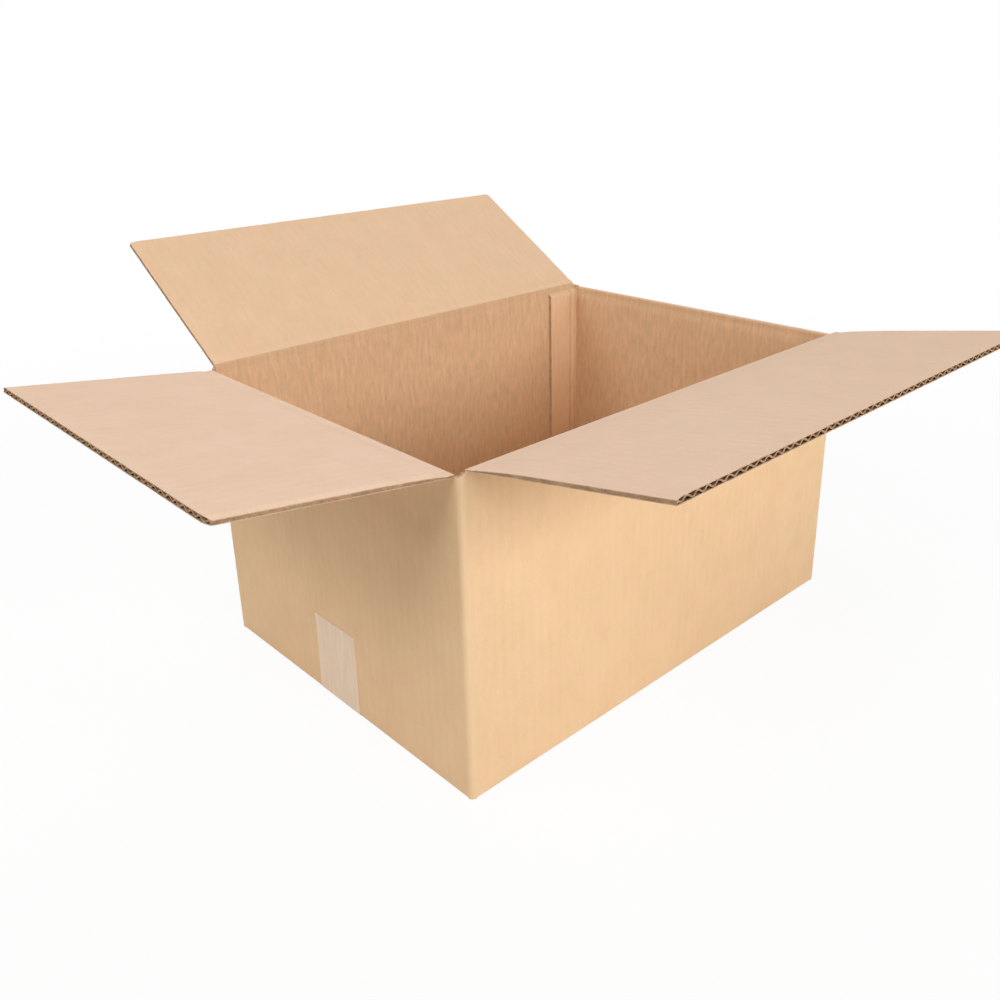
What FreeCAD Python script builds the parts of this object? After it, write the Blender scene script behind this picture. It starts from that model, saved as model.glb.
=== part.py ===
import FreeCAD, Part
import math
import os

# Open shipping carton with four walls, a taped bottom and four open top flaps.
# It is folded from one blank of corrugated board. Lengths are in millimetres.
# X runs along the long walls, Y along the short walls and Z up. The origin is
# at the middle of the underside, on the surface that the carton stands on.

# Corrugated board
board = 3.8              # thickness over both liners
liner = 0.5              # thickness of each facing sheet
medium = 0.4             # thickness of the fluted sheet between the facings
flute_pitch = 8.0        # from one flute to the next on the same side
flank_angle = 45.0       # slope of the fluted sheet between two crests
crest_flats = 3          # short flats that make the round of each crest

# Carton
outer_length = 400.0     # along X, over the short walls
outer_width = 290.0      # along Y, over the long walls
short_fold = 219.0       # height of the short flaps' fold line over the floor
corner_radius = 4.0      # outside of the upright folds
inner_corner_radius = 0.6
bottom_fold_radius = 2.0
slot_half = 4.5          # from the corner of the carton to the side edge of a flap

# Glue tab, which carries on from the right wall inside the back wall
tab_reach = 40.0         # from the outside of the right wall to the tab's free edge
tab_board = 3.0          # the board is crushed under the glue

# Packing tape along the bottom seam and up both short walls
tape_width = 48.0
tape_thickness = 0.3
tape_rise_left = 64.0    # top edge of the tape over the floor
tape_rise_right = 60.0

# Clearances
fold_gap = 0.15          # from the outside of a wall to its flap's turning line
mitre_gap = 0.1          # from the turning plane to each mitred edge beside a fold
stack_gap = 0.2          # between two layers of board that lie on each other
seam_gap = 0.5           # between the free edges of two long flaps that meet
side_gap = 0.3           # between a flap's side edge and what stays beside it

# Angles of the top flaps as they stand, from upright and outwards
front_angle = 80.0
back_angle = 58.0
left_angle = 82.0
right_angle = 120.0

# Score and wear
score_crush = 7.0        # from the fold line to where the flutes are open again
wear_along = 6.0         # bent corner of the left flap, along its free edge
wear_across = 2.0        # the same corner, along its side edge

# Sizes that follow from these
long_fold = short_fold + board + stack_gap
flap_length = outer_width / 2 + fold_gap - seam_gap / 2
long_flap_half = outer_length / 2 - slot_half
short_flap_half = outer_width / 2 - slot_half
post = slot_half - side_gap
tab_face = outer_width / 2 - board - tab_board
tab_top = long_fold - board - seam_gap
inner_floor = tape_thickness + board + stack_gap
over = 2 * board


def block(x0, x1, y0, y1, z0, z1):
    """A box between two corners."""
    corner = FreeCAD.Vector(x0, y0, z0)
    return Part.makeBox(x1 - x0, y1 - y0, z1 - z0, corner)


def rounded_prism(length, width, radius, z0, z1):
    """A block about the Z axis with rounded upright edges."""
    solid = block(-length / 2, length / 2, -width / 2, width / 2, z0, z1)
    upright = [e for e in solid.Edges if abs(e.Vertexes[0].Z - e.Vertexes[-1].Z) > radius]
    return solid.makeFillet(radius, upright)


def prism_along_x(points, half):
    """Extrude an outline of (y, z) points from x = -half to x = half."""
    corners = [FreeCAD.Vector(-half, y, z) for y, z in points]
    outline = Part.makePolygon(corners + corners[:1])
    return Part.Face(outline).extrude(FreeCAD.Vector(2 * half, 0, 0))


def place_on_side(shape, turn, stand_off, height):
    """Move a shape from its own frame, with outwards along +Y and its wall's
    outer face at y = 0, to one side of the carton."""
    placed = shape.copy()
    placed.translate(FreeCAD.Vector(0, stand_off, height))
    placed.rotate(FreeCAD.Vector(0, 0, 0), FreeCAD.Vector(0, 0, 1), turn)
    return placed


# Each side of the carton: the turn that brings +Y to it, its stand-off from
# the middle, and the height of its fold line
sides = {
    "back": (0, outer_width / 2, long_fold),
    "left": (90, outer_length / 2, short_fold),
    "front": (180, outer_width / 2, long_fold),
    "right": (270, outer_length / 2, short_fold),
}


def wall_mitre(half):
    """What the score takes off the top of a wall: all that lies above the
    turning plane, which slopes down and inwards from the turning line."""
    drop = fold_gap + mitre_gap * math.sqrt(2)
    outline = [
        (over, over - drop),
        (-over, -over - drop),
        (-over, over),
    ]
    return prism_along_x(outline, half)


def glued_corner():
    """The corner where the blank's two ends meet: the back wall ends square,
    and the right wall folds in behind it."""
    x1 = outer_length / 2
    y1 = outer_width / 2
    y_glue = y1 - board
    centre_x = x1 - corner_radius
    centre_y = y_glue - corner_radius
    z0 = tape_thickness
    wall_end = block(centre_x, x1, y_glue, y1, z0, long_fold)
    turn = Part.makeCylinder(corner_radius, long_fold - z0, FreeCAD.Vector(centre_x, centre_y, z0))
    quarter = block(centre_x, x1, centre_y, y_glue, z0, long_fold)
    return [wall_end, turn.common(quarter)]


def glue_tab():
    """The tab that carries on from the fold in the right wall, flat against
    the inside of the back wall."""
    x1 = outer_length / 2
    foot = inner_floor + board + stack_gap
    return block(x1 - tab_reach, x1 - corner_radius, tab_face, outer_width / 2 - board, foot, tab_top)


def wall_ring():
    """The four walls, with the corner where the glue tab starts."""
    z0 = tape_thickness
    outer = rounded_prism(outer_length, outer_width, corner_radius, z0, long_fold)
    inner_length = outer_length - 2 * board
    inner_width = outer_width - 2 * board
    inside = rounded_prism(inner_length, inner_width, inner_corner_radius, z0 - over, long_fold + over)
    ring = outer.cut(inside)
    x1 = outer_length / 2
    y1 = outer_width / 2
    corner = block(x1 - corner_radius, x1, y1 - board - corner_radius, y1, z0, long_fold)
    ring = ring.cut(corner)
    return ring.fuse(glued_corner())


def bottom_flaps():
    """The two short bottom flaps lie inside, on the two long ones, which meet
    at the seam under the tape."""
    z0 = tape_thickness
    reach = flap_length - fold_gap
    layers = []
    for sign in (-1, 1):
        wall_y = sign * (outer_width / 2 - board / 2)
        seam_y = sign * seam_gap / 2
        y0, y1 = sorted((wall_y, seam_y))
        layers.append(block(-long_flap_half, long_flap_half, y0, y1, z0, z0 + board))
        wall_x = sign * (outer_length / 2 - board / 2)
        edge_x = sign * (outer_length / 2 - reach)
        x0, x1 = sorted((wall_x, edge_x))
        layers.append(block(x0, x1, -short_flap_half, short_flap_half, inner_floor, inner_floor + board))
    return layers


def slot_corner(sign_x, sign_y):
    """The end of a slot between two top flaps, at one corner of the carton."""
    x0, x1 = sorted((sign_x * (outer_length / 2 - post), sign_x * (outer_length / 2 + over)))
    y0, y1 = sorted((sign_y * (outer_width / 2 - post), sign_y * (outer_width / 2 + over)))
    return block(x0, x1, y0, y1, short_fold - fold_gap - seam_gap, long_fold + over)


def bottom_fold(half):
    """What rounds the outside of a lower fold between two slots: the square
    corner under the wall, outside a quarter circle."""
    z0 = tape_thickness
    r = bottom_fold_radius
    corner = block(-half, half, -r, over, z0 - over, z0 + r)
    start = FreeCAD.Vector(-half, -r, z0 + r)
    fold = Part.makeCylinder(r, 2 * half, start, FreeCAD.Vector(1, 0, 0))
    return corner.cut(fold)


def make_carton_body():
    """Walls, glue tab and bottom flaps: one folded blank without its top flaps."""
    body = wall_ring()
    for turn, stand_off, height in sides.values():
        half = (outer_length if turn % 180 == 0 else outer_width) / 2 - post
        body = body.cut(place_on_side(wall_mitre(half), turn, stand_off, height))
        body = body.cut(place_on_side(bottom_fold(half), turn, stand_off, 0))
    body = body.fuse(bottom_flaps() + [glue_tab()])
    for sign_x in (-1, 1):
        for sign_y in (-1, 1):
            body = body.cut(slot_corner(sign_x, sign_y))
    return body.removeSplitter()


def flute_outline(x, base_y, crest_sign):
    """Outline of one open flute: flat on its liner, with straight flanks and
    a crest of short flats on an arc under the fluted sheet."""
    slope = math.radians(flank_angle)
    height = board - 2 * liner - medium
    run = flute_pitch / 2 * math.tan(slope) - height
    bend = run / (2 * (math.sin(slope) * math.tan(slope) - 1 + math.cos(slope)))
    radius = bend - medium / 2
    crest = []
    for i in range(crest_flats + 1):
        turn = slope * (1 - 2 * i / crest_flats)
        crest.append((radius * math.sin(turn), height - radius * (1 - math.cos(turn))))
    shoulder_x, shoulder_y = crest[0]
    foot_x = shoulder_x + shoulder_y / math.tan(slope)
    outline = [(foot_x, 0)] + crest + [(-foot_x, 0)]
    corners = [FreeCAD.Vector(x + dx, base_y + crest_sign * dy, 0) for dx, dy in outline]
    return Part.Face(Part.makePolygon(corners + corners[:1]))


def flutes(x0, x1, z0, z1):
    """All open flutes of a flap between its side edges, from z0 up to z1.
    They lie in turn on the outer and on the inner liner."""
    margin = flute_pitch / 2
    count = math.floor((x1 - x0 - 2 * margin) / (flute_pitch / 2) + 1)
    start = (x0 + x1) / 2 - (count - 1) * flute_pitch / 4
    channels = []
    for i in range(count):
        x = start + i * flute_pitch / 2
        if i % 2 == 0:
            face = flute_outline(x, -liner, -1)
        else:
            face = flute_outline(x, -board + liner, 1)
        face.translate(FreeCAD.Vector(0, 0, z0))
        channels.append(face.extrude(FreeCAD.Vector(0, 0, z1 - z0)))
    return channels


def upright_flap(x0, x1):
    """A flap standing straight up over its wall, with y = 0 as its outer face
    and the fold line at z = 0. Its lower edge is mitred for the fold."""
    drop = fold_gap + mitre_gap * math.sqrt(2)
    outline = [
        (0, drop),
        (0, flap_length),
        (-board, flap_length),
        (-board, board + drop),
    ]
    flap = prism_along_x(outline, (x1 - x0) / 2)
    flap.translate(FreeCAD.Vector((x0 + x1) / 2, 0, 0))
    return flap.cut(Part.Compound(flutes(x0, x1, score_crush, flap_length + over)))


def make_flap(side, angle, x0, x1, worn_corner=None):
    """A top flap, turned outwards about its fold line and set on its side."""
    flap = upright_flap(x0, x1)
    if worn_corner is not None:
        flap = flap.cut(worn_corner)
    turning_line = FreeCAD.Vector(0, fold_gap, 0)
    flap.rotate(turning_line, FreeCAD.Vector(1, 0, 0), -angle)
    turn, stand_off, height = sides[side]
    return place_on_side(flap, turn, stand_off, height)


def left_flap_wear():
    """The bent corner at the front end of the left flap's free edge."""
    x = -short_flap_half
    z = flap_length
    corners = [
        FreeCAD.Vector(x - over, -over, z + over),
        FreeCAD.Vector(x + wear_along, -over, z + over),
        FreeCAD.Vector(x + wear_along, -over, z),
        FreeCAD.Vector(x, -over, z - wear_across),
        FreeCAD.Vector(x - over, -over, z - wear_across),
    ]
    outline = Part.makePolygon(corners + corners[:1])
    return Part.Face(outline).extrude(FreeCAD.Vector(0, 2 * over, 0))


def make_seam_tape():
    """One strip of tape: under the long bottom flaps and up both short walls."""
    bend = bottom_fold_radius + tape_thickness
    reach = outer_length / 2 + tape_thickness
    half = tape_width / 2
    strip = block(-reach, reach, -half, half, 0, max(tape_rise_left, tape_rise_right))
    low = [e for e in strip.Edges if e.BoundBox.ZMax < 0.001 and e.BoundBox.XLength < 0.001]
    strip = strip.makeFillet(bend, low)
    hollow = block(-outer_length / 2, outer_length / 2, -tape_width, tape_width, tape_thickness, 2 * long_fold)
    low = [e for e in hollow.Edges if e.BoundBox.ZMax < tape_thickness + 0.001 and e.BoundBox.XLength < 0.001]
    strip = strip.cut(hollow.makeFillet(bottom_fold_radius, low))
    lower_rise = min(tape_rise_left, tape_rise_right)
    sign = -1 if tape_rise_left < tape_rise_right else 1
    x0, x1 = sorted((0, sign * 2 * reach))
    return strip.cut(block(x0, x1, -tape_width, tape_width, lower_rise, 2 * long_fold))


def build():
    """All parts of the carton by name."""
    parts = {}
    parts["carton_body"] = make_carton_body()
    parts["front_flap"] = make_flap("front", front_angle, -long_flap_half, long_flap_half)
    parts["back_flap"] = make_flap("back", back_angle, -long_flap_half, long_flap_half)
    worn = left_flap_wear()
    parts["left_flap"] = make_flap("left", left_angle, -short_flap_half, short_flap_half, worn)
    # The right flap clears the glue tab when it is folded in
    tab_side = tab_face - side_gap
    parts["right_flap"] = make_flap("right", right_angle, -tab_side, short_flap_half)
    parts["seam_tape"] = make_seam_tape()
    return parts


os.makedirs("parts", exist_ok=True)
for name, shape in build().items():
    solid = shape.Solids[0] if len(shape.Solids) == 1 else shape
    solid.exportStep("parts/" + name + ".step")
    box = solid.BoundBox
    print(name, len(shape.Solids), "solid, valid", solid.isValid(), "volume", round(solid.Volume, 1))
    print("  x", round(box.XMin, 2), round(box.XMax, 2), "y", round(box.YMin, 2), round(box.YMax, 2),
          "z", round(box.ZMin, 2), round(box.ZMax, 2))
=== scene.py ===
# %% [markdown]
# # An open cardboard box
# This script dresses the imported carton. The real box is one sheet of corrugated board that was cut,
# scored, folded and glued into a tube, closed at the bottom and taped. Its four top flaps stand open.
# Lengths are in metres, X runs along the long walls, Y along the short walls and Z is up.

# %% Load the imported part
import math
import bpy
import numpy as np
from mathutils import Matrix


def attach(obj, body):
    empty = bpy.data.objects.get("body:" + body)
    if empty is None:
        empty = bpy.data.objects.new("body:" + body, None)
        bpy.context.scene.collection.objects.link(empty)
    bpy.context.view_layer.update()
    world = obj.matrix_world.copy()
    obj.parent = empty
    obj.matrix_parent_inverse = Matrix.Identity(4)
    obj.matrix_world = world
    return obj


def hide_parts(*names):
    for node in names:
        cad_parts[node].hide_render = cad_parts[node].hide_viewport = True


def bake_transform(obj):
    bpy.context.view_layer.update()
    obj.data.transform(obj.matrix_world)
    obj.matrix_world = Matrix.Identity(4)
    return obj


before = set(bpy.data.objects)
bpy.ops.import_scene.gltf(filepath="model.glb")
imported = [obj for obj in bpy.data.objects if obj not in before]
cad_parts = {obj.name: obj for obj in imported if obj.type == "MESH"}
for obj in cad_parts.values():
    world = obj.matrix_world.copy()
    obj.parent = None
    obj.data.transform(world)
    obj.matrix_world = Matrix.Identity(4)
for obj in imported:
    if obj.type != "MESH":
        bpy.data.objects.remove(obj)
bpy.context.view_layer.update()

# %% [markdown]
# ## Sizes of the board and the box
# The board is two flat liners with a fluted sheet glued between them. These are the sizes that the
# part was drawn with, so every new surface lands on the solid that it stands for. Only the fluted sheet
# is thicker, 0.9 mm against 0.4 mm in the part, which leaves the dark tunnels as small as in the photo.
# The right flap stops short at its far end, beside the fold of the glue tab. The walk round the box
# goes front, right, back, left, so that along x up = out on every side.

# %% Sizes and sides
mm = 0.001
board = 3.8 * mm
liner = 0.5 * mm
medium = 0.9 * mm
flute_pitch = 8 * mm
half_length = 200 * mm
half_width = 145 * mm
short_fold = 219 * mm
long_fold = 223 * mm
flap_length = 144.9 * mm
long_end = 195.5 * mm
short_end = 140.5 * mm
end_at_tab = 137.9 * mm
floor_gap = 0.3 * mm
glue_gap = 0.03 * mm
hinge_gap = 0.15 * mm
mitre_drop = 0.29 * mm
post = 4.2 * mm
corner_radius = 4 * mm
bottom_radius = 2.0 * mm

sides = {
    "front": {"along": (1, 0), "out": (0, -1), "off": half_width, "fold": long_fold, "angle": 80,
              "ends": (-long_end, long_end), "start": 0.0, "crush": 0.25},
    "right": {"along": (0, 1), "out": (1, 0), "off": half_length, "fold": short_fold, "angle": 120,
              "ends": (-short_end, end_at_tab), "start": 0.5, "crush": 0.45},
    "back": {"along": (-1, 0), "out": (0, 1), "off": half_width, "fold": long_fold, "angle": 58,
             "ends": (-long_end, long_end), "start": 1.0, "crush": 0.2},
    "left": {"along": (0, -1), "out": (-1, 0), "off": half_length, "fold": short_fold, "angle": 82,
             "ends": (-short_end, short_end), "start": 1.5, "crush": 0.3},
}
for name, side in sides.items():
    print(name, "flap stands", side["angle"], "degrees outwards from upright")


# %% [markdown]
# ## How a mesh is put together
# Every piece here is thin: a sheet of paper, a wall or a strip of tape. So one helper is enough. It
# takes two grids of points, the outer and the inner face, and joins them round the rim into a closed
# slab. A Solidify modifier could thicken a single sheet, but here the two faces often differ in shape.
# Faces get material 0 on the outer face, 1 on the inner face and 2 on the rim, which is the cut edge. A
# UV map called blank holds each point's place on the flat sheet in metres, so that the paper's pattern
# follows the board round its folds. A point attribute says where the paper is worn and where painted
# highlights and painted shade go, and on the tape how solid its edges are.

# %% Slabs
def slab(outer, inner, uv, wear_and_shading=0.0, finishes=(0, 1, 2)):
    """A closed slab between two grids [i along, j up]: quads i, i+1 by j, j+1 on the outer face, the
    same ones turned over on the inner face, and a band of quads round the four borders."""
    m, n = outer.shape[:2]
    index = np.arange(m * n).reshape(m, n)
    face = np.stack([index[:-1, :-1], index[1:, :-1], index[1:, 1:], index[:-1, 1:]], -1).reshape(-1, 4)
    loop = np.concatenate([index[:, 0], index[-1, 1:], index[-2::-1, -1], index[0, -2::-1]])
    ahead = loop[1:]
    behind = loop[:-1]
    inside = m * n
    rim = np.stack([ahead, behind, behind + inside, ahead + inside], -1)
    quads = np.concatenate([face, face[:, ::-1] + inside, rim])
    paint = np.repeat(finishes, [len(face), len(face), len(rim)])
    return {
        "points": np.concatenate([outer.reshape(-1, 3), inner.reshape(-1, 3)]),
        "quads": quads,
        "paint": paint,
        "uv": np.tile(np.broadcast_to(uv, (m, n, 2)).reshape(-1, 2), (2, 1)),
        "wear_and_shading": np.tile(np.broadcast_to(wear_and_shading, (m, n)).ravel(), 2),
    }


print("a slab is two faces and a rim")


# %% Pieces
def make_piece(name, parts, finishes):
    """One mesh object from several slabs, with smooth faces and sharp edges where they turn by more
    than 35 degrees."""
    shift = np.cumsum([0] + [len(p["points"]) for p in parts])
    points = np.concatenate([p["points"] for p in parts])
    quads = np.concatenate([p["quads"] + k for p, k in zip(parts, shift)])
    mesh = bpy.data.meshes.new(name)
    mesh.from_pydata(points, [], quads)
    paint = np.concatenate([p["paint"] for p in parts]).astype(np.int32)
    mesh.polygons.foreach_set("material_index", paint)
    corners = np.zeros(len(mesh.loops), np.int32)
    mesh.loops.foreach_get("vertex_index", corners)
    flat = np.concatenate([p["uv"] for p in parts])[corners]
    mesh.uv_layers.new(name="blank").data.foreach_set("uv", flat.astype(np.float32).ravel())
    # these values mark wear, and also where painted highlights and painted shade go
    worn = np.concatenate([p["wear_and_shading"] for p in parts]).astype(np.float32)
    mesh.attributes.new("wear_and_shading", "FLOAT", "POINT").data.foreach_set("value", worn)
    mesh.shade_smooth()
    mesh.set_sharp_from_angle(angle=math.radians(35))
    piece = bpy.data.objects.new(name, mesh)
    bpy.context.scene.collection.objects.link(piece)
    for finish in finishes:
        mesh.materials.append(finish)
    print(name, "has", 2 * len(quads), "triangles")
    return piece


print("a piece is several slabs in one mesh")


# %% [markdown]
# ## Shader maths as plain expressions
# A finish is a graph of nodes, but its maths reads better as Python. Amount wraps a node's output, and
# adding or multiplying Amounts adds Math nodes. Finish.node adds any other node.

# %% Amounts
class Amount:
    """A number, colour or vector that changes over a surface. Arithmetic on it adds Math nodes."""

    def __init__(self, finish, socket):
        self.finish = finish
        self.socket = socket

    def maths(self, operation, a, b):
        return self.finish.node("ShaderNodeMath", {"operation": operation}, {0: a, 1: b})

    def __add__(self, other):
        return self.maths("ADD", self, other)

    def __radd__(self, other):
        return self.maths("ADD", other, self)

    def __mul__(self, other):
        return self.maths("MULTIPLY", self, other)

    def __rmul__(self, other):
        return self.maths("MULTIPLY", other, self)


print("amounts can be added and multiplied")


# %% Finishes
class Finish:
    """A material that is put together node by node, with a Principled shader at its end."""

    def __init__(self, name):
        self.material = bpy.data.materials.new(name)
        self.material.use_nodes = True
        self.nodes = self.material.node_tree.nodes
        self.links = self.material.node_tree.links
        self.shader = self.nodes["Principled BSDF"]

    def node(self, kind, settings, inputs, output=0):
        """Add a node: settings first, then the values or links of its sockets."""
        made = self.nodes.new(kind)
        for key, value in settings.items():
            setattr(made, key, value)
        self.fill(made, inputs)
        return Amount(self, made.outputs[output])

    def fill(self, made, inputs):
        """Put numbers on sockets and link Amounts to them."""
        for key, value in inputs.items():
            if isinstance(value, Amount):
                self.links.new(value.socket, made.inputs[key])
            else:
                made.inputs[key].default_value = value

    def mix(self, share, a, b):
        """A colour that goes from a to b as share goes from 0 to 1."""
        inputs = {"Factor": share, 6: a, 7: b}
        return self.node("ShaderNodeMix", {"data_type": "RGBA"}, inputs, 2)

    def step(self, value, low, high):
        """0 below low, 1 above high, with a smooth rise between them."""
        inputs = {"Value": value, "From Min": low, "From Max": high}
        return self.node("ShaderNodeMapRange", {"interpolation_type": "SMOOTHSTEP"}, inputs)

    def noise(self, where, stretch, detail=2.0, roughness=0.5):
        """Smooth noise from about 0 to 1. stretch is how many grains fit in a metre each way."""
        scaled = self.node("ShaderNodeVectorMath", {"operation": "MULTIPLY"}, {0: where, 1: stretch})
        inputs = {"Vector": scaled, "Scale": 1.0, "Detail": detail, "Roughness": roughness}
        return self.node("ShaderNodeTexNoise", {"noise_dimensions": "3D"}, inputs)


def srgb(red, green, blue):
    """A colour from screen values of 0 to 255, as linear light with full alpha."""
    screen = np.array([red, green, blue]) / 255
    linear = np.where(screen <= 0.04045, screen / 12.92, ((screen + 0.055) / 1.055) ** 2.4)
    return (*linear.tolist(), 1.0)


print("finish helpers are ready")


# %% [markdown]
# ## Kraft paper
# Both liners are kraft paper made of long unbleached fibres. The outer liner is a warm yellow brown and
# the inner one a paler, pinker brown. On the real board the inner liner is one paper. Here it has three
# tints, for the flaps, the back flap and the inside, because one tint under these lamps didn't give
# the photo's tones. Close up the sheet is cloudy, with thin fibres that lie mostly across the flutes, a
# few dark bark specks and a few pale ones. The flutes show through as faint upright stripes, which is
# called washboarding. The pattern could be one noise, but each of these has its own size and
# direction, so each is a separate layer on the blank's own coordinates.

# %% Liner finish
def liner_finish(name, pale, deep, warm, stripe_phase, streak_shade):
    """Kraft liner: cloud and tint noises between three colours, stretched noises for fibres and for long
    streaks along the flutes, which are painted shade of the flutes' relief as strong as the last
    argument says, stepped noise for specks, and a sine wave across the flutes, which goes into the bump
    and, faintly, into the colour as painted shade."""
    paper = Finish(name)
    blank = paper.node("ShaderNodeUVMap", {"uv_map": "blank"}, {})
    cloud = paper.noise(blank, (38, 30, 1), 3.0, 0.6)
    tint = paper.noise(blank, (75, 60, 1), 2.0, 0.5)
    fibre = paper.noise(blank, (420, 1900, 1), 2.0, 0.6)
    cross = paper.noise(blank, (1700, 480, 1), 2.0, 0.6)
    bark = paper.noise(blank, (620, 900, 1), 1.0, 0.5)
    lint = paper.noise(blank, (520, 330, 1), 1.0, 0.5)
    streaks = paper.noise(blank, (320, 65, 1), 3.0, 0.7)
    across = paper.node("ShaderNodeSeparateXYZ", {}, {0: blank}, 0)
    turns = across * (2 * math.pi / flute_pitch) + stripe_phase
    wave = paper.node("ShaderNodeMath", {"operation": "SINE"}, {0: turns})
    drift = paper.noise(blank, (14, 5, 1), 2.0, 0.5)
    stripe = wave * paper.step(drift, 0.3, 0.7)
    wear_and_shading = paper.node("ShaderNodeAttribute", {"attribute_name": "wear_and_shading"}, {}, "Fac")

    colour = paper.mix(paper.step(cloud, 0.25, 0.75), deep, pale)
    colour = paper.mix(0.55 * paper.step(tint, 0.35, 0.75), colour, warm)
    # the streaks and the sine stripes darken the paper in bands along the flutes: painted shade of the
    # flutes' relief, strongest on the inside walls
    shade = 0.9 - 0.5 * streak_shade + streak_shade * streaks
    shade = shade + 0.12 * fibre + 0.08 * cross + 0.012 * stripe
    grey = paper.node("ShaderNodeCombineColor", {}, {0: shade, 1: shade, 2: shade})
    colour = paper.node("ShaderNodeMix", {"data_type": "RGBA", "blend_type": "MULTIPLY"},
                        {"Factor": 1.0, 6: colour, 7: grey}, 2)
    dark = [c * 0.45 for c in deep[:3]] + [1.0]
    light = [min(1.0, c * 1.25 + 0.05) for c in pale[:3]] + [1.0]
    colour = paper.mix(0.45 * paper.step(bark, 0.74, 0.82), colour, dark)
    colour = paper.mix(0.4 * paper.step(lint, 0.75, 0.83), colour, light)
    # above zero the point attribute lightens the paper: wear along free edges, a painted highlight up
    # the upright corners and a lighter glue tab; below zero it darkens it: painted shade along the fold
    # crests and in the tab's pressed lines, and painted shadow at the tab's free end
    colour = paper.mix(0.55 * paper.step(wear_and_shading, 0.0, 1.0), colour, light)
    colour = paper.mix(0.6 * paper.step(wear_and_shading, 0.0, -1.0), colour, dark)

    height = 0.25 * stripe + 0.6 * fibre + 0.4 * cross + 0.8 * cloud
    bump = paper.node("ShaderNodeBump", {}, {"Strength": 0.55, "Distance": 0.00012, "Height": height})
    rough = 0.78 + 0.14 * fibre
    inputs = {"Base Color": colour, "Normal": bump, "Roughness": rough, "Specular IOR Level": 0.28}
    paper.fill(paper.shader, inputs)
    return paper.material


outer_kraft = liner_finish("outer_kraft", srgb(233, 200, 158), srgb(228, 194, 152),
                           srgb(234, 195, 158), 0.0, 0.1)
# the three copies of the inner liner are one paper, tinted for the light where each is used: the inside
# copy is darker, painted shade for the inside of the box, and the back flap's copy is yellower than the
# flap copy
flap_kraft = liner_finish("flap_kraft", srgb(234, 203, 177), srgb(229, 198, 170),
                          srgb(235, 198, 174), math.pi, 0.12)
inside_shaded_kraft = liner_finish("inside_shaded_kraft", srgb(224, 188, 150), srgb(220, 183, 144),
                           srgb(225, 184, 148), math.pi, 0.55)
back_kraft = liner_finish("back_flap_kraft", srgb(232, 197, 161), srgb(227, 191, 154),
                          srgb(233, 192, 158), math.pi, 0.12)
print("liner finishes:", outer_kraft.name, flap_kraft.name, inside_shaded_kraft.name)


# %% [markdown]
# ## Fluted sheet and cut edges
# The fluted sheet is rougher, darker paper, and the knife leaves the board's edges fuzzy and brown. Both
# are small on screen, so one short noise finish with its own colours does for them. It reads Object
# coordinates, because a cut edge has no width on the flat blank.

# %% Raw paper finish
def raw_finish(name, pale, deep):
    """Raw paper: two colours mixed by a fine noise, which also roughens the surface."""
    paper = Finish(name)
    place = paper.node("ShaderNodeTexCoord", {}, {}, "Object")
    grain = paper.noise(place, (900, 900, 900), 3.0, 0.6)
    blotch = paper.noise(place, (160, 160, 160), 2.0, 0.5)
    colour = paper.mix(paper.step(0.6 * grain + 0.4 * blotch, 0.35, 0.65), deep, pale)
    bump = paper.node("ShaderNodeBump", {}, {"Strength": 0.6, "Distance": 0.0002, "Height": grain})
    inputs = {"Base Color": colour, "Normal": bump, "Roughness": 0.95, "Specular IOR Level": 0.2}
    paper.fill(paper.shader, inputs)
    return paper.material


fluted_paper = raw_finish("fluted_paper", srgb(188, 152, 120), srgb(148, 116, 88))
cut_edge = raw_finish("cut_edge", srgb(214, 182, 151), srgb(180, 148, 118))
print("raw finishes:", fluted_paper.name, cut_edge.name)


# %% [markdown]
# ## Crushed scores
# A score is a line that a blunt wheel has pressed into the board, so that it folds there. The board is
# thinner along it, and it swells back to full thickness a few millimetres away. The front fold was
# also pressed down towards the near corner, where its flap hangs lowest in the photo. The crush could
# be sculpted by hand, but a bell curve in the thickness gives every fold and every pose the same one.
# No edge of real board is dead straight either, so a crooked line is added to the free edges.

# %% Thickness near a fold
def thickness(side_name, s, h):
    """Board thickness at s along the fold and h from it: full, less a narrow bell curve in h with the
    side's own depth, and on the front and left folds a wide bell that grows towards the near corner."""
    thin = sides[side_name]["crush"] * np.exp(-((h / (4.5 * mm)) ** 2)) + 0 * s
    if side_name == "front":
        near = np.clip((half_length - s) / (2 * half_length), 0, 1)
        thin = thin + (0.25 + 0.3 * near) * np.exp(-((h / (26 * mm)) ** 2))
    if side_name == "left":
        near = np.clip((half_width + s) / (2 * half_width), 0, 1)
        thin = thin + 0.3 * near * np.exp(-((h / (20 * mm)) ** 2))
    return board * (1 - thin)


for name in sides:
    print(name, "fold is", round(float(thickness(name, 0.0, 0.0)) / mm, 2), "mm thick in the middle")


# %% Crooked edges and close samples
def ruffle(t, seed, size):
    """A crooked line around zero: five sines of rising pitch with fixed phases, about size deep."""
    pitches = np.array([37.0, 91.0, 173.0, 410.0, 890.0])
    phases = np.array([1.3, 2.9, 0.7, 5.1, 4.2]) * (seed + 1)
    weights = np.array([1.0, 0.8, 0.7, 0.6, 0.5]) / 3.6
    return size * np.sin(np.asarray(t)[..., None] * pitches + phases) @ weights


def spread(low, high, count, near=2.2):
    """Points from low to high that lie closer together at both ends: a blend of even steps and of steps
    that follow a half cosine."""
    t = np.linspace(0, 1, count)
    eased = (1 - np.cos(math.pi * t)) / 2
    share = (near - 1) / near
    return low + (high - low) * (share * eased + (1 - share) * t)


print("five spread points:", spread(0, 1, 5).round(3).tolist())


# %% [markdown]
# ## A panel of corrugated board
# A flap shows its make-up at its free edge: liner, wave, liner. A picture of a wave would not have
# the dark tunnels behind it, so the flutes are real here. The panel is worked out flat, in s along
# the fold, h from the fold and d outwards through the board, and a place function folds it to where it
# belongs.

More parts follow.
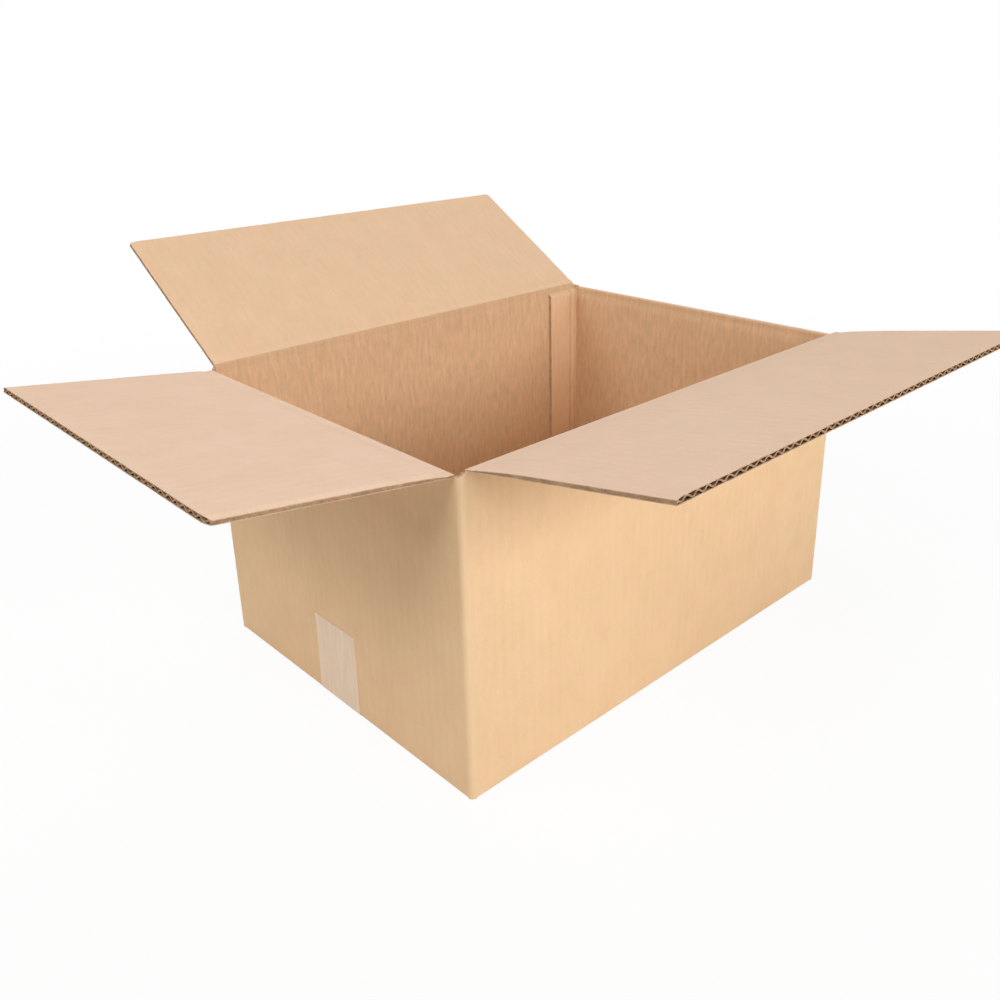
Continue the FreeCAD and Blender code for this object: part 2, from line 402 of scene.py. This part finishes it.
# %% Corrugated panel
def panel(place, ends, reach, thick, start, seed, root=0.0, mitre=1.0):
    """Three slabs. The liners are flat grids whose free and side edges follow crooked lines, with the
    first row on the mitre: h = root + mitre x depth. The fluted sheet is a cosine wave in s between
    them, made thick along its own normal. At the side edges it swells to fill the board, as the knife
    leaves it there."""
    rows = np.concatenate([[0.0], np.array([1, 2.5, 4.5, 7, 10, 14, 20, 28, 40]) * mm / reach])
    rows = np.concatenate([rows, np.linspace(rows[-1], 1, 14)[1:-1], [1 - 0.6 * mm / reach, 1.0]])
    cols = np.concatenate([[0, 0.0022], spread(0.005, 0.995, 88), [0.9978, 1]])
    low, high = ends

    def layer(depth_share, depth_add, edge_seed):
        """Grid at a depth of share x thickness + add, from the mitre to the crooked free edge."""
        q, r = np.meshgrid(cols, rows, indexing="ij")
        h = r * reach
        fade = np.minimum(1, h / (6 * mm))
        left = low + fade * ruffle(h, edge_seed, 0.25 * mm)
        right = high - fade * ruffle(h, edge_seed + 3, 0.25 * mm)
        s = left + (right - left) * q
        full = thick(s, h)
        depth = depth_share * full + depth_add * np.minimum(1, full / (1.8 * mm))
        first = root + mitre * depth
        end = reach - np.abs(ruffle(s, edge_seed + 5, 0.35 * mm))
        h = first + (end - first) * r
        full = thick(s, h)
        depth = depth_share * full + depth_add * np.minimum(1, full / (1.8 * mm))
        return place(s, h, -depth), np.stack([start + s, h], -1), h

    outside, uv, h = layer(0.0, 0.0, seed)
    under = layer(0.0, liner, seed)[0]
    over = layer(1.0, -liner, seed + 1)[0]
    inside, uv_in, h_in = layer(1.0, 0.0, seed + 1)
    worn = 0.15 * np.exp(-(((reach - h) / (1.2 * mm)) ** 2))
    worn_in = 0.15 * np.exp(-(((reach - h_in) / (1.2 * mm)) ** 2))
    outer_sheet = slab(outside, under, uv, worn, (0, 3, 2))
    inner_sheet = slab(over, inside, uv_in, worn_in, (3, 1, 2))

    waves = round((high - low) / flute_pitch * 12)
    steps = np.linspace(0, 1, waves + 1)[1:-1]
    steps = np.concatenate([[0, 0.0012, 0.0025], steps, [0.9975, 0.9988, 1]])
    wave_rows = np.array([0, 3, 6, 10, 16, 24, 34, 60, 100]) * mm / reach
    wave_rows = np.concatenate([wave_rows, [1 - 2 * mm / reach, 1.0]])
    q, r = np.meshgrid(steps, wave_rows, indexing="ij")
    s = low + 0.3 * mm + (high - low - 0.6 * mm) * q
    turn = 2 * math.pi * s / flute_pitch + ruffle(s, seed + 7, 0.5)
    full = thick(s, r * reach)
    squash = np.minimum(1, full / (1.8 * mm))
    from_side = np.minimum(s - low, high - s) - 0.3 * mm
    plug = np.exp(-((from_side / (0.7 * mm)) ** 2))
    sheet = medium * squash + (full - 2 * liner * squash - medium * squash) * plug
    swing = np.maximum((full - 2 * liner - medium) / 2, 0.01 * mm) * (1 - plug)
    slope = -swing * 2 * math.pi / flute_pitch * np.sin(turn)
    centre = -full / 2 + swing * np.cos(turn)
    lean = np.hypot(1, slope)
    grids = []
    for sign in (1, -1):
        d = centre + sign * sheet / 2 / lean
        lateral = s - sign * sheet / 2 * slope / lean
        first = root - mitre * d
        end = reach - 0.2 * mm - np.abs(ruffle(s, seed + 9, 0.5 * mm))
        grids.append(place(lateral, first + (end - first) * r, d))
    wave_uv = np.stack([start + s, r * reach], -1)
    return [outer_sheet, inner_sheet, slab(grids[0], grids[1], wave_uv, 0.0, (3, 3, 3))]


board_finishes = [outer_kraft, flap_kraft, cut_edge, fluted_paper]
wall_finishes = [outer_kraft, inside_shaded_kraft, cut_edge, fluted_paper]
back_finishes = [outer_kraft, back_kraft, cut_edge, fluted_paper]
print("a panel is made of three closed sheets")


# %% [markdown]
# ## The four top flaps
# Each flap stands on its fold line and leans outwards by its own angle. It is worked out upright and
# then turned about the line that its joint turns on, 0.15 mm outside the wall. Each could be modelled
# in its place, but this way one panel function serves all four. The left flap has one free corner worn
# off, as in the photo.

# %% Top flaps
def on_side(side, s, o, z):
    """Turn s along, o outwards from the wall and z up into a point of the box."""
    ax, ay = side["along"]
    ox, oy = side["out"]
    away = side["off"] + o
    return np.stack([ax * s + ox * away, ay * s + oy * away, z + 0 * s], -1)


def flap_place(side):
    """Place for a top flap: a turn by the flap's angle about the hinge line."""
    lean = math.radians(side["angle"])

    def place(s, h, d):
        beyond = d - hinge_gap
        o = hinge_gap + beyond * math.cos(lean) + h * math.sin(lean)
        z = side["fold"] + h * math.cos(lean) - beyond * math.sin(lean)
        return on_side(side, s, o, z)

    return place


def flap_thickness(name, s, h):
    """Thickness of a flap: that of its fold, held over the first board's depth, and less by a narrow
    bell curve along the side edges, where the slotting knives pressed the board."""
    low, high = sides[name]["ends"]
    from_side = np.minimum(s - low, high - s)
    pressed = 0.28 * np.minimum(1, h / (8 * mm)) * np.exp(-((from_side / (2.2 * mm)) ** 2))
    return thickness(name, s, np.maximum(h - board - mitre_drop, 0)) * (1 - pressed)


def bevel_corner(place, end_s, along, across):
    """Place with one corner of the free edge worn off: over the last along of the edge, h is held under
    a curve that falls by across, as the square of the way to the corner."""

    def worn(s, h, d):
        near = np.clip(1 - (end_s - s) / along, 0, 1)
        limit = flap_length - across * near ** 2
        return place(s, np.minimum(h, limit), d)

    return worn


worn_along = 9 * mm
worn_across = 2.2 * mm
for count, (name, side) in enumerate(sides.items()):
    place = flap_place(side)
    if name == "left":
        place = bevel_corner(place, side["ends"][1], worn_along, worn_across)
    parts = panel(place, side["ends"], flap_length, lambda s, h, n=name: flap_thickness(n, s, h),
                  side["start"], count, mitre_drop)
    flap = make_piece(name + "_flap_board", parts, back_finishes if name == "back" else board_finishes)
    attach(flap, name + "_flap_body")
    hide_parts(name + "_flap")


# %% [markdown]
# ## The folds
# Between a wall and its flap the board is crushed but whole. A rigid corner would tear open when the
# flap moves, so each fold is a strip of its own between the wall and the flap. Seen from its end it is a
# wedge: the outer liner folds on the hinge line, and the inner liner goes round it. The strip is cut
# along its middle, so that each half takes the paper of its own side.

# %% Fold strips
def fold_strip(name, side):
    """Wedge about the hinge line. In polar form the wall's inner plane is r = reach / cos(turn), and
    the flap's is the same about its own normal. They meet in a crest, which is held under a cap and
    dented by a narrow bell curve. The outer face is a Bezier curve."""
    s = spread(side["ends"][0], side["ends"][1], 80)[:, None]
    t = np.linspace(0, 1, 17)[None, :]
    reach_o = thickness(name, s, 0.0) + hinge_gap
    reach_z = reach_o - hinge_gap + mitre_drop
    radius = np.hypot(reach_o, reach_z)
    lean = math.radians(side["angle"])
    tip = math.pi - np.arctan2(reach_z, reach_o)
    from_angle = 2 * math.pi - tip
    to_angle = tip - lean
    turn = from_angle + (to_angle - from_angle) * t
    from_normal = np.where(t < 0.5, turn - math.pi, turn - (math.pi - lean))
    dent = (0.1 + 0.05 * ruffle(s, 4, 1.0)) * np.exp(-(((t - 0.5) / 0.05) ** 2))
    round_radius = reach_o * np.minimum(1 / np.cos(from_normal), 1.05) * (1 - dent)
    flat_part = np.abs(t - 0.5) > lean / 2 / (from_angle - to_angle)
    round_radius = np.where(flat_part, reach_o / np.cos(from_normal), round_radius)
    inner_o = round_radius * np.cos(turn) + hinge_gap
    inner_z = round_radius * np.sin(turn)
    start_o, start_z = 0.0, -mitre_drop
    end_o = hinge_gap - hinge_gap * math.cos(lean) + mitre_drop * math.sin(lean)
    end_z = hinge_gap * math.sin(lean) + mitre_drop * math.cos(lean)
    b0, b1, b2 = (1 - t) ** 2, 2 * t * (1 - t), t ** 2
    outer_o = b0 * start_o + b1 * hinge_gap + b2 * end_o + 0 * s
    outer_z = b0 * start_z + b2 * end_z + 0 * s
    whole = s + 0 * t
    outer = on_side(side, whole, outer_o, side["fold"] + outer_z)
    inner = on_side(side, whole, inner_o, side["fold"] + inner_z)
    uv = np.stack([side["start"] + whole, (t - 0.5) * 9 * mm + 0 * s], -1)
    # a dark line is painted along the middle of the strip: painted shade in the crease at its crest; the
    # half on the wall's side takes the darker inside copy of the liner, which is painted shade too
    wear_and_shading = -0.4 * np.exp(-(((t - 0.5) / 0.07) ** 2)) + 0 * s
    lower = slab(outer[:, :9], inner[:, :9], uv[:, :9], wear_and_shading[:, :9], (0, 4, 2))
    upper = slab(outer[:, 8:], inner[:, 8:], uv[:, 8:], wear_and_shading[:, 8:], (0, 1, 2))
    finishes = back_finishes if name == "back" else board_finishes
    strip = make_piece(name + "_fold_board", [lower, upper], finishes + [inside_shaded_kraft])
    half_arc = (from_angle - to_angle).max() / 2
    span = float(radius.max()) * math.sin(min(half_arc, math.pi / 2)) * 0.98
    slant = math.pi / 2 - lean / 2
    ends = []
    for sign in (-1, 1):
        o = np.array(hinge_gap + sign * span * math.cos(slant))
        z = side["fold"] + sign * span * math.sin(slant)
        ends.append(on_side(side, np.array(0.0), o, z).tolist())
    name + "_flap_body"
    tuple(ends[0])
    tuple(ends[1])
    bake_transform(strip)


for name, side in sides.items():
    fold_strip(name, side)


# %% [markdown]
# ## The walls
# The walls are one long strip that walks round the box. It starts at the square end of the back wall,
# turns three corners, and ends in the glue tab, which turns in behind the back wall. A box of four
# plates would show seams at the corners, where the real liner runs on without a break.

# %% Straight runs and turns
def straight(side_name, low, high, steps):
    """Samples of a straight run of wall: place, outward direction, walk distance, number of the side,
    place along it, and distance from the nearer corner, with a sign."""
    side = sides[side_name]
    s = np.asarray(steps)
    s = s[(s >= low) & (s <= high)]
    flat = on_side(side, s, 0 * s, 0 * s)[:, :2]
    out = np.tile(side["out"], (len(s), 1))
    half = half_length if side_name in ("front", "back") else half_width
    away = -np.sign(s) * (half - np.abs(s) - corner_radius * (1 - math.pi / 4))
    return flat, out, side["start"] + s, np.full(len(s), list(sides).index(side_name)), s, away


def corner(centre, from_side, to_side, rises, power=2, radius=corner_radius):
    """Samples of a quarter turn of the outer liner about a centre, from one side to the next. Between
    two slots the torn top is a valley: the two rises fall off by a power of the turn."""
    a, b = sides[from_side], sides[to_side]
    turn = np.linspace(0, math.pi / 2, 9)[1:-1, None]
    out = np.cos(turn) * np.array(a["out"]) + np.sin(turn) * np.array(b["out"])
    flat = np.array(centre) + radius * out
    walk = turn[:, 0] * radius
    end_s = abs(np.dot(centre, a["along"]))
    share = turn[:, 0] / (math.pi / 2)
    top = slot_end + rises[0] * (1 - share) ** power + rises[1] * share ** power
    away = walk - radius * math.pi / 4
    return flat, out, a["start"] + end_s + walk, np.full(len(turn), -1), top, away


def wall_steps(half):
    """Where the wall is sampled: close together beside the slots, wide apart in the middle."""
    edge = half - post
    tiny = 0.01 * mm
    near = np.array([-half + corner_radius, -edge - tiny, -edge + tiny])
    near = np.concatenate([near, -edge + np.array([1.5, 3, 5, 8, 12, 18]) * mm])
    return np.concatenate([near, np.linspace(-edge + 28 * mm, edge - 28 * mm, 26), -near[::-1]])


print("a long wall has", len(wall_steps(half_length)), "samples along it")

# %% Walk round the blank
slot_end = short_fold - 0.65 * mm
short_rise = 1.6 * mm
long_rise = 4.0 * mm
run_x = half_length - corner_radius
run_y = half_width - corner_radius
glue_y = half_width - board
tab_radius = 3.2 * mm
tab_top = 219.25 * mm
tab_bottom = 8.3 * mm
tab_board = 3.0 * mm
tab_turn_y = glue_y - tab_radius
long_steps = wall_steps(half_length)
short_steps = wall_steps(half_width)
back_steps = np.concatenate([[-half_length, -half_length + 1.5 * mm], long_steps])
before_tab = short_steps[short_steps < tab_turn_y - 3 * mm]
right_steps = np.concatenate([before_tab, [tab_turn_y - 1.5 * mm, tab_turn_y]])
tab_centre = (half_length - tab_radius, tab_turn_y)
runs = [
    straight("back", -half_length, run_x, back_steps),
    corner((-run_x, run_y), "back", "left", (long_rise, short_rise)),
    straight("left", -run_y, run_y, short_steps),
    corner((-run_x, -run_y), "left", "front", (short_rise, long_rise)),
    straight("front", -run_x, run_x, long_steps),
    corner((run_x, -run_y), "front", "right", (long_rise, short_rise)),
    straight("right", -run_y, tab_turn_y, right_steps),
    corner(tab_centre, "right", "back", (long_rise, long_rise), 1, tab_radius),
]
tab_steps = [3.2, 4, 5, 5.6, 6.2, 7, 8.5, 10, 11.2, 12, 12.8, 14, 16, 20, 26, 32, 37, 39.4, 40]
tab_s = -half_length + np.array(tab_steps) * mm
tab_flat = np.stack([-tab_s, np.full(len(tab_s), glue_y - glue_gap)], -1)
tab_away = tab_s + half_length - 3 * mm
tab_out = np.tile((0, 1), (len(tab_s), 1))
runs.append((tab_flat, tab_out, 2.0 + tab_s, np.full(len(tab_s), 4), tab_s, tab_away))
columns = [np.concatenate(column) for column in zip(*runs)]
wall_xy, wall_out, wall_u, wall_side, wall_s, from_corner = columns
turning = wall_side == -1
tab = wall_side == 4
plain_wall = (wall_side >= 0) & (wall_side < 4)
long_wall = (wall_side == 0) | (wall_side == 2)
wall_half = np.where(long_wall, half_length, half_width)
print("the walk round the blank has", len(wall_u), "stations")


# %% [markdown]
# ## Wall heights and thickness
# The long walls reach one board higher than the short ones, because their flaps close on top. Between
# two flaps the slot ends lower still. Booleans could cut the slots, but here each station of the walk
# simply has its own height. Up the wall the outer liner is plain, the inner one swells away from each
# score, and the glue tab is pressed thin, with its top edge flattened on the back wall.

# %% Wall heights
def wall_heights():
    """Top of the outer face, top of the inner face and bottom at each station."""
    fold = np.where(long_wall, long_fold, short_fold)
    in_flap = plain_wall & (np.abs(wall_s) < wall_half - post)
    root = np.zeros(len(wall_u))
    for index, name in enumerate(sides):
        mine = wall_side == index
        root[mine] = thickness(name, wall_s[mine], 0.0)
    torn = slot_end + np.where(long_wall, long_rise, short_rise)
    torn[turning] = wall_s[turning]
    top_out = np.where(in_flap, fold - mitre_drop, torn)
    top_in = np.where(in_flap, fold - mitre_drop - root, torn)
    bottom = np.full(len(wall_u), floor_gap)
    top_out[tab] = tab_top
    top_in[tab] = tab_top
    bottom[tab] = tab_bottom
    return fold, top_out, top_in, bottom, in_flap


def wall_bow(z, s, half):
    """Small inward sag of a wall panel: a sine up the wall times a sine along it, about 0.5 mm deep."""
    across = np.cos(np.clip(s / half, -1, 1) * math.pi / 2)
    return -0.5 * mm * np.sin(np.clip(z / short_fold, 0, 1) * math.pi) * across


fold_line, top_out, top_in, bottom, in_flap = wall_heights()
no_corner = 60 * mm
from_corner[(wall_side == 2) & (wall_s < 0)] = no_corner
# heights of the rows in millimetres, close together at the bottom fold and below the scores
low_rows = [0, 0.12, 0.35, 0.75, 1.3, 2.0]
high_rows = [190, 198, 204, 208, 211, 213.5, 215.5, 217, 218.2, 219]
rows = np.concatenate([low_rows, np.linspace(8, 180, 20), high_rows]) / high_rows[-1]
z_out = bottom[:, None] + (top_out - bottom)[:, None] * rows
z_in = bottom[:, None] + (top_in - bottom)[:, None] * rows
print("the walls are", z_out.shape[1], "rows high and", round(z_out.max() / mm, 1), "mm tall")

# %% Wall faces
bow = wall_bow(z_out, wall_s[:, None], wall_half[:, None]) * plain_wall[:, None]
rise = np.clip(bottom_radius - (z_out - floor_gap), 0, bottom_radius)
tuck = bottom_radius - np.sqrt(bottom_radius ** 2 - rise ** 2)
tuck = tuck * np.where(in_flap, 1.0, 0.35)[:, None] * ~tab[:, None]
outer_off = bow - tuck
close_up = 1.2 * mm * np.exp(-(((z_out - short_fold) / (6 * mm)) ** 2))
outer_off = np.where(tab[:, None], close_up, outer_off)

wall_thick = np.full(z_in.shape, board)
for index, name in enumerate(sides):
    mine = wall_side == index
    wall_thick[mine] = thickness(name, wall_s[mine][:, None], top_in[mine][:, None] - z_in[mine])
score = np.exp(-((from_corner / (5 * mm)) ** 2))[:, None]
wall_thick = wall_thick * (1 - 0.16 * score)
# two pressed lines run up the tab, at 5.6 and 12 mm from its fold
from_turn = wall_s + half_length
tab_lines = np.exp(-(((from_turn - 12 * mm) / (1.0 * mm)) ** 2))
tab_lines = tab_lines + 0.7 * np.exp(-(((from_turn - 5.6 * mm) / (0.8 * mm)) ** 2))
tab_lines = tab_lines * tab
tab_thick = tab_board - 0.5 * mm * tab_lines
wall_thick = np.where(tab[:, None], tab_thick[:, None], wall_thick)
inner_bow = wall_bow(z_in, wall_s[:, None], wall_half[:, None]) * plain_wall[:, None]
inner_off = inner_bow - wall_thick
feather = np.exp(-(((tab_top - z_in) / (1.4 * mm)) ** 2)) * tab[:, None]
inner_off = inner_off + (0.7 * mm - inner_off) * feather
print("thinnest board in the walls:", round(wall_thick.min() / mm, 2), "mm")


# %% Walls
def wall_points(off, z):
    """Points of one face: the station plus its outward direction times the offset, at height z."""
    flat = wall_xy[:, None, :] + wall_out[:, None, :] * off[..., None]
    return np.concatenate([flat, z[..., None]], -1)


wall_uv = np.stack([wall_u[:, None] + 0 * z_out, z_out - fold_line[:, None]], -1)
# a painted highlight runs up the upright corners; the tab is made lighter, with painted shadow at its
# free end and painted shade in its pressed lines
corner_highlight = 0.32 * np.exp(-(((from_corner - 0.9 * mm) / (2.9 * mm)) ** 2))
tab_end_shadow = tab & (from_turn > 39.5 * mm)
tab_tone_and_shade = 0.65 * tab - 1.2 * tab_end_shadow - 0.75 * tab_lines
outer_wall = wall_points(outer_off, z_out)
inner_wall = wall_points(inner_off, z_in)
walls = slab(outer_wall, inner_wall, wall_uv, np.tile(corner_highlight[:, None], len(rows)))
inner_start = len(walls["wear_and_shading"]) // 2
walls["wear_and_shading"][inner_start:] = np.repeat(tab_tone_and_shade, len(rows))
carton = make_piece("carton_walls", [walls], wall_finishes)
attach(carton, "carton")
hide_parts("carton_body")


# %% [markdown]
# ## The bottom
# The bottom is made of flaps too: two short ones lie inside, on two long ones that meet over the tape.
# They are the same panels as on top, laid flat, so that their free edges show the flutes as well.

# %% Bottom flaps
def bottom_place(side, under):
    """Place for a bottom flap: h runs inwards from the wall, and d down from the flap's underside."""

    def place(s, h, d):
        return on_side(side, -s, -h, under - d)

    return place


def plain_board(s, h):
    """Full board thickness all over."""
    return board + 0 * s


parts = []
layer_gap = 0.2 * mm
bottom_reach = flap_length - 0.15 * mm
bottom_start = 2.2 * mm
for count, (name, side) in enumerate(sides.items()):
    under = floor_gap if name in ("front", "back") else floor_gap + board + layer_gap
    ends = side["ends"] if name != "right" else (-short_end, short_end)
    place = bottom_place(side, under)
    blank_start = side["start"] - 0.3
    parts += panel(place, ends, bottom_reach, plain_board, blank_start, count + 20, bottom_start, 0.0)
bottom_flaps = make_piece("bottom_flaps", parts, wall_finishes)
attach(bottom_flaps, "carton")


# %% [markdown]
# ## The tape
# One strip of clear packing tape runs under the bottom seam and up both short walls. It is a smooth
# film, a little milky over the brown paper, with a silvery line where its edge has lifted. A flat box
# couldn't turn the two bottom folds, so it is a strip that follows the wall and the floor, carried
# across its width.

# %% Tape strip
tape_half = 24 * mm
tape_film = 0.3 * mm
left_rise = 64 * mm
right_rise = 60 * mm


def tape_profile():
    """Centre line of the tape from the top on the left wall, round the bottom folds and up the right
    wall, and the outward direction along it, in the XZ plane."""
    radius = bottom_radius
    left = np.linspace(left_rise, floor_gap + radius, 30)
    turn = np.linspace(0, math.pi / 2, 9)[1:-1]
    under = np.linspace(-half_length + radius, half_length - radius, 40)
    right = np.linspace(floor_gap + radius, right_rise, 30)
    x = [np.full(30, -half_length), -half_length + radius - radius * np.cos(turn), under,
         half_length - radius + radius * np.sin(turn), np.full(30, half_length)]
    z = [left, floor_gap + radius - radius * np.sin(turn), np.full(40, floor_gap),
         floor_gap + radius - radius * np.cos(turn), right]
    nx = [np.full(30, -1.0), -np.cos(turn), np.zeros(40), np.sin(turn), np.full(30, 1.0)]
    nz = [np.zeros(30), -np.sin(turn), np.full(40, -1.0), -np.cos(turn), np.zeros(30)]
    return [np.concatenate(a) for a in (x, z, nx, nz)]


tape_x, tape_z, tape_nx, tape_nz = tape_profile()
tape_y = spread(-tape_half, tape_half, 25)
px, y = np.meshgrid(tape_x, tape_y, indexing="ij")
pz = np.meshgrid(tape_z, tape_y, indexing="ij")[0]
sag = wall_bow(pz, y, half_width) * (np.abs(tape_nx)[:, None] > 0.99)


def tape_face(lift):
    """The tape's face at a lift over the board."""
    off = lift + sag
    return np.stack([px + tape_nx[:, None] * off, y, pz + tape_nz[:, None] * off], -1)


tape_walk = np.concatenate([[0], np.cumsum(np.hypot(np.diff(tape_x), np.diff(tape_z)))])
tape_uv = np.stack([y, tape_walk[:, None] + 0 * y], -1)
edge_lift = np.exp(-(((tape_half - np.abs(y)) / (1.0 * mm)) ** 2))
tape_outer = tape_face(tape_film)[::-1]
tape_inner = tape_face(glue_gap)[::-1]
tape_parts = [slab(tape_outer, tape_inner, tape_uv[::-1], edge_lift[::-1], (0, 0, 0))]
print("the tape is", round(tape_walk[-1] / mm), "mm long")


# %% [markdown]
# ## The film's finish
# The film is see-through, so its alpha carries the look: mostly milky, more so in long streaks where it
# was pulled off the roll, and nearly solid along its two edges. A glass shader would be another way,
# but a film this thin bends no light. Its pattern follows its own length and width.

# %% Tape finish
film = Finish("tape_film")
along = film.node("ShaderNodeUVMap", {"uv_map": "blank"}, {})
streaks = film.noise(along, (260, 22, 1), 2.0, 0.5)
milk = film.noise(along, (60, 60, 1), 2.0, 0.5)
edge = film.node("ShaderNodeAttribute", {"attribute_name": "wear_and_shading"}, {}, "Fac")
film_colour = film.mix(film.step(milk, 0.3, 0.7), srgb(253, 227, 201), srgb(255, 231, 204))
film_alpha = 0.75 + 0.09 * film.step(streaks, 0.45, 0.75) + 0.12 * edge
film_bump = film.node("ShaderNodeBump", {}, {"Strength": 0.4, "Distance": 0.0002, "Height": streaks})
film.fill(film.shader, {"Base Color": film_colour, "Alpha": film_alpha, "Normal": film_bump,
                        "Roughness": 0.42, "Specular IOR Level": 0.4})
tape = make_piece("seam_tape_strip", tape_parts, [film.material])
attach(tape, "carton")
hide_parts("seam_tape")


# %% [markdown]
# ## The floor
# The photo shows the box on plain white. The floor is a pale sheet that the camera sees as almost
# white, with a soft shadow left on it, and that fades into a white surround. Brighter lamps would make
# the floor white too, but they would bleach the box.

# %% Floor
def make_floor():
    """A square sheet just under the tape. The camera sees mostly white light with some of the lit
    paper under it, and only white beyond the fade."""
    size = 3.0
    level = -0.2 * mm
    mesh = bpy.data.meshes.new("floor")
    square = [(-size, -size, level), (size, -size, level), (size, size, level), (-size, size, level)]
    mesh.from_pydata(square, [], [(0, 1, 2, 3)])
    floor = bpy.data.objects.new("floor", mesh)
    bpy.context.scene.collection.objects.link(floor)
    ground = Finish("white_floor")
    grey = (0.85, 0.85, 0.85, 1)
    ground.fill(ground.shader, {"Base Color": grey, "Roughness": 0.9, "Specular IOR Level": 0.0})
    white = ground.node("ShaderNodeEmission", {}, {"Color": (1, 1, 1, 1), "Strength": 1.0})
    place = ground.node("ShaderNodeTexCoord", {}, {}, "Object")
    away = ground.node("ShaderNodeVectorMath", {"operation": "LENGTH"}, {0: place}, "Value")
    far = ground.step(away, 0.5, 1.4)
    path = ground.nodes.new("ShaderNodeLightPath")
    seen = Amount(ground, path.outputs["Is Camera Ray"]) + Amount(ground, path.outputs["Is Glossy Ray"])
    seen = seen + Amount(ground, path.outputs["Is Transmission Ray"])
    share = seen * (0.93 + 0.07 * far)
    lit = Amount(ground, ground.shader.outputs[0])
    both = ground.node("ShaderNodeMixShader", {}, {0: share, 1: lit, 2: white})
    ground.links.new(both.socket, ground.nodes["Material Output"].inputs["Surface"])
    mesh.materials.append(ground.material)


make_floor()
print("floor is laid")


# %% [markdown]
# ## The light
# Six soft lamps stand round the box. Lamps could be set by eye alone, but it is quicker to render each
# candidate by itself and to fit the powers, so that the sum gives the photo's tones: the long wall is
# brightest, the short wall darkens under its flap, and the inside darkens downwards. Two small lamps of
# the fit were then dropped, the rear lamp was given its own place, and the others were moved and trimmed
# a little. Only the camera sees the white surround, so it lights the box hardly at all.

# %% Light
def soft_lamp(name, place, size, power, aim=(0, 0, 0.15)):
    """A square lamp that faces a point, here the middle of the box."""
    lamp = bpy.data.lights.new(name, "AREA")
    lamp.shape = "SQUARE"
    lamp.size = size
    lamp.energy = power
    lamp_object = bpy.data.objects.new(name, lamp)
    bpy.context.scene.collection.objects.link(lamp_object)
    lamp_object.location = place
    away = np.array(place) - np.array(aim)
    back = away / np.linalg.norm(away)
    right = np.cross((0, 0, 1), back)
    right = right / np.linalg.norm(right)
    up = np.cross(back, right)
    lamp_object.rotation_euler = Matrix(np.stack([right, up, back], -1).tolist()).to_euler()


lamps = [
    ("front_lamp", (0.35, -1.8, 1.1), 1.4, 4.3),
    ("low_left_lamp", (-0.2, -1.9, 0.9), 0.7, 16.8),
    ("low_right_lamp", (0.9, -1.7, 0.8), 0.7, 7.2),
    ("high_left_lamp", (-1.4, -0.5, 1.6), 0.7, 12.4),
    ("far_left_lamp", (-1.6, 0.7, 1.2), 0.8, 12.2),
    ("rear_lamp", (1.1, 1.05, 1.6), 1.4, 26),
]
for name, place, size, power in lamps:
    soft_lamp(name, place, size, power)
print(len(lamps), "soft lamps")

# %% White surround
world = bpy.data.worlds.new("white_surround")
bpy.context.scene.world = world
world.use_nodes = True
air = world.node_tree.nodes
background = air["Background"]
background.inputs["Strength"].default_value = 0.02
white_air = air.new("ShaderNodeBackground")
white_air.inputs["Strength"].default_value = 1.0
for made in (background, white_air):
    made.inputs["Color"].default_value = (1, 1, 1, 1)
air_path = air.new("ShaderNodeLightPath")
air_mix = air.new("ShaderNodeMixShader")
join = world.node_tree.links.new
join(air_path.outputs["Is Camera Ray"], air_mix.inputs[0])
join(background.outputs[0], air_mix.inputs[1])
join(white_air.outputs[0], air_mix.inputs[2])
join(air_mix.outputs[0], air["World Output"].inputs["Surface"])
bpy.context.scene.view_settings.view_transform = "Standard"
print("the camera sees a white surround")


# %% [markdown]
# ## The camera
# The camera stands where the photo was taken from. It could be moved about until the picture looks
# right, but its place, its three angles, its focal length and the picture's centre were fitted to the
# straight edges of the box in the photo, so that most edges land within a few pixels of the photo's.

# %% Camera
def make_camera(place, azimuth, elevation, roll, focal_pixels, centre):
    """A camera at a point. Its back, right and up directions follow from the three angles, and the
    lens from the focal length in pixels of a picture 1000 wide."""
    a, e, r = (math.radians(x) for x in (azimuth, elevation, roll))
    back = np.array([math.sin(a) * math.cos(e), -math.cos(a) * math.cos(e), math.sin(e)])
    level = np.array([math.cos(a), math.sin(a), 0])
    above = np.cross(back, level)
    right = math.cos(r) * level + math.sin(r) * above
    up = -math.sin(r) * level + math.cos(r) * above
    data = bpy.data.cameras.new("camera")
    data.sensor_width = 36
    data.lens = focal_pixels / 1000 * 36
    data.shift_x = (500 - centre[0]) / 1000
    data.shift_y = (centre[1] - 500) / 1000
    data.clip_start = 0.01
    data.clip_end = 50
    camera = bpy.data.objects.new("camera", data)
    bpy.context.scene.collection.objects.link(camera)
    pose = np.eye(4)
    pose[:3, :3] = np.stack([right, up, back], -1)
    pose[:3, 3] = place
    camera.matrix_world = Matrix(pose.tolist())
    bpy.context.scene.camera = camera


camera_place = (-0.51128, -0.52161, 0.42941)
make_camera(camera_place, -42.319, 20.592, -1.366, 974.02, (501.11, 432.65))
print("camera is set")
